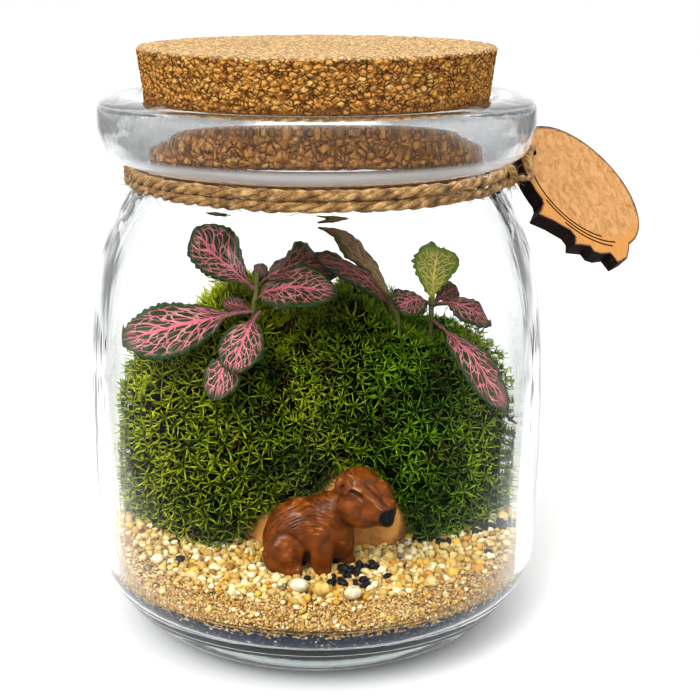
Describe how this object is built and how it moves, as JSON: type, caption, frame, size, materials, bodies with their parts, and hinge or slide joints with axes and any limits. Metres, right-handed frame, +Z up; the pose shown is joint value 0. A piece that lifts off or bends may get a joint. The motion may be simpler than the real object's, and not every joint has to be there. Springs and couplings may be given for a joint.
{
  "type": "glass plant terrarium",
  "caption": "Corked glass jar terrarium with gravel, moss, pink-veined fittonia, a boulder, a small animal figurine and a hanging wooden tag.",
  "frame": {"origin": "middle of the jar's flat base, on the surface that it stands on", "axes": "+Z up along the jar's axis, -Y towards the front of the planting, +X towards the side where the tag hangs"},
  "size_m": [0.123, 0.1, 0.1268],
  "materials": {
    "glass": "clear, polished",
    "cork": "agglomerated cork granules",
    "jute": "twisted jute fibre",
    "tag_wood": "laser-cut ply with charred edges",
    "grit": "dark mineral grit",
    "gravel": "sand and fine gravel",
    "soil": "dark damp soil",
    "moss": "living cushion moss",
    "stone": "tan river stone",
    "figurine": "glossy brown resin",
    "pebble_cream": "smooth cream stone",
    "pebble_yellow": "smooth yellow stone",
    "leaf": "living leaf with pink veins"
  },
  "bodies": {
    "root": {"glass_jar": "glass", "cork_stopper": "cork", "jute_twine": "jute", "wood_tag": "tag_wood", "grit_layer": "grit", "gravel_bed": "gravel", "soil_mound": "soil", "moss_bank": "moss", "boulder": "stone", "capybara_figurine": "figurine", "pebble_left": "pebble_cream", "pebble_right": "pebble_cream", "pebble_middle": "pebble_yellow", "fittonia_left": "leaf", "fittonia_middle": "leaf", "fittonia_right": "leaf"}
  },
  "joints": []
}
